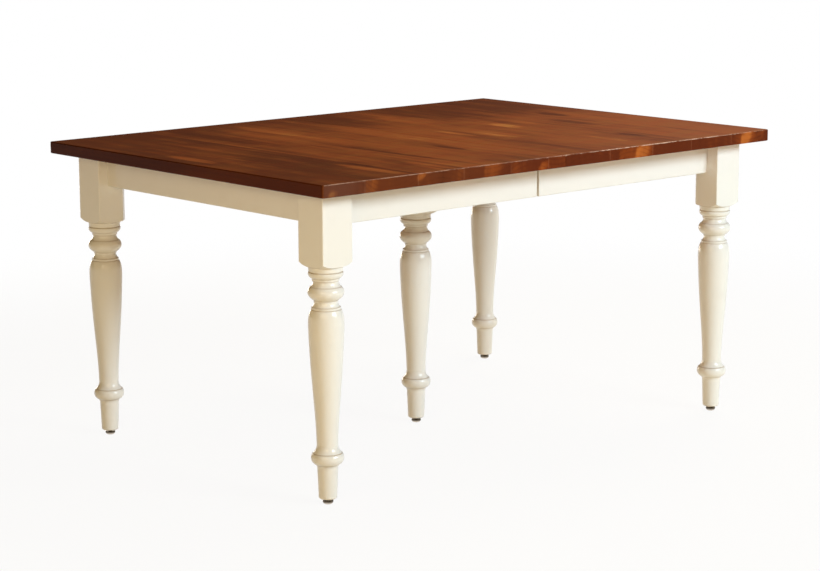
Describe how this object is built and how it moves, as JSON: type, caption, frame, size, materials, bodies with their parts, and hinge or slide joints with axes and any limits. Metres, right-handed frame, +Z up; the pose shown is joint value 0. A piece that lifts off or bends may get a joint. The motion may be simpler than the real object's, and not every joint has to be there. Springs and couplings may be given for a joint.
{
  "type": "extension dining table",
  "caption": "Rectangular dining table with stained board top and painted turned legs; the halves slide apart on geared wooden rails over a centre leg.",
  "frame": {"origin": "on the floor under the middle of the closed top", "axes": "+X along the table's length towards the right half, +Y across the table towards the back, +Z up"},
  "size_m": [1.524, 1.088, 0.762],
  "materials": {
    "top_boards": "red-brown stain under satin lacquer",
    "base_paint": "cream paint with a thin tan glaze, satin",
    "slide_wood": "bare hardwood",
    "pin_wood": "bare hardwood",
    "zinc_steel": "zinc plated",
    "nickel": "nickel plated",
    "nylon": "moulded nylon",
    "brass": "brass plated"
  },
  "bodies": {
    "centre_frame": {"centre_leg": "base_paint", "centre_foot_socket": "zinc_steel", "centre_leg_plate": "zinc_steel", "centre_plate_screws": "zinc_steel", "cross_board": "slide_wood", "cross_board_screws": "zinc_steel", "front_centre_rail": "slide_wood", "back_centre_rail": "slide_wood", "pinion_pins": "zinc_steel"},
    "left_half": {"left_top": "top_boards", "left_end_apron": "base_paint", "left_front_apron": "base_paint", "left_back_apron": "base_paint", "left_front_leg": "base_paint", "left_back_leg": "base_paint", "left_front_corner_bracket": "zinc_steel", "left_back_corner_bracket": "zinc_steel", "left_hanger_bolts": "zinc_steel", "left_wing_nuts": "zinc_steel", "left_wood_screws": "zinc_steel", "left_top_buttons": "slide_wood", "left_foot_sockets": "zinc_steel", "left_front_rail": "slide_wood", "left_back_rail": "slide_wood", "left_front_rack": "nylon", "left_back_rack": "nylon", "left_rail_pads": "slide_wood", "left_rail_screws": "zinc_steel", "seam_pins": "pin_wood", "lock_keepers": "brass"},
    "right_half": {"right_top": "top_boards", "right_end_apron": "base_paint", "right_front_apron": "base_paint", "right_back_apron": "base_paint", "right_front_leg": "base_paint", "right_back_leg": "base_paint", "right_front_corner_bracket": "zinc_steel", "right_back_corner_bracket": "zinc_steel", "right_hanger_bolts": "zinc_steel", "right_wing_nuts": "zinc_steel", "right_wood_screws": "zinc_steel", "right_top_buttons": "slide_wood", "right_foot_sockets": "zinc_steel", "right_front_rail": "slide_wood", "right_back_rail": "slide_wood", "right_front_rack": "nylon", "right_back_rack": "nylon", "right_rail_pads": "slide_wood", "right_rail_screws": "zinc_steel", "lock_bases": "brass"},
    "front_pinion": {"front_pinion": "nylon"},
    "back_pinion": {"back_pinion": "nylon"},
    "front_lock_lever": {"front_lock_lever": "brass"},
    "back_lock_lever": {"back_lock_lever": "brass"},
    "left_front_glide": {"left_front_glide": "nickel"},
    "left_back_glide": {"left_back_glide": "nickel"},
    "right_front_glide": {"right_front_glide": "nickel"},
    "right_back_glide": {"right_back_glide": "nickel"},
    "centre_glide": {"centre_glide": "nickel"}
  },
  "joints": [
    {"name": "right_slide", "type": "slide", "parent": "centre_frame", "child": "right_half", "axis": [1, 0, 0], "range_m": [0, 0.61]},
    {"name": "left_slide", "type": "slide", "parent": "centre_frame", "child": "left_half", "axis": [-1, 0, 0], "range_m": [0, 0.61]},
    {"name": "front_pinion_turn", "type": "hinge", "parent": "centre_frame", "child": "front_pinion", "pos_m": [0, -0.2, 0.7243], "axis": [0, 0, 1], "continuous": true},
    {"name": "back_pinion_turn", "type": "hinge", "parent": "centre_frame", "child": "back_pinion", "pos_m": [0, 0.2, 0.7243], "axis": [0, 0, 1], "continuous": true},
    {"name": "front_lock_turn", "type": "hinge", "parent": "right_half", "child": "front_lock_lever", "pos_m": [0.032, -0.34, 0.7253], "axis": [0, 0, 1], "range_deg": [0, 90]},
    {"name": "back_lock_turn", "type": "hinge", "parent": "right_half", "child": "back_lock_lever", "pos_m": [0.032, 0.34, 0.7253], "axis": [0, 0, 1], "range_deg": [0, 90]},
    {"name": "left_front_glide_lift", "type": "slide", "parent": "left_half", "child": "left_front_glide", "axis": [0, 0, -1], "range_m": [0, 0.012]},
    {"name": "left_back_glide_lift", "type": "slide", "parent": "left_half", "child": "left_back_glide", "axis": [0, 0, -1], "range_m": [0, 0.012]},
    {"name": "right_front_glide_lift", "type": "slide", "parent": "right_half", "child": "right_front_glide", "axis": [0, 0, -1], "range_m": [0, 0.012]},
    {"name": "right_back_glide_lift", "type": "slide", "parent": "right_half", "child": "right_back_glide", "axis": [0, 0, -1], "range_m": [0, 0.012]},
    {"name": "centre_glide_lift", "type": "slide", "parent": "centre_frame", "child": "centre_glide", "axis": [0, 0, -1], "range_m": [0, 0.012]}
  ],
  "couplings": [
    {"joint": "left_slide", "follows": "right_slide", "ratio": 1},
    {"joint": "front_pinion_turn", "follows": "right_slide", "rad_per_m": -55.556},
    {"joint": "back_pinion_turn", "follows": "right_slide", "rad_per_m": -55.556}
  ]
}
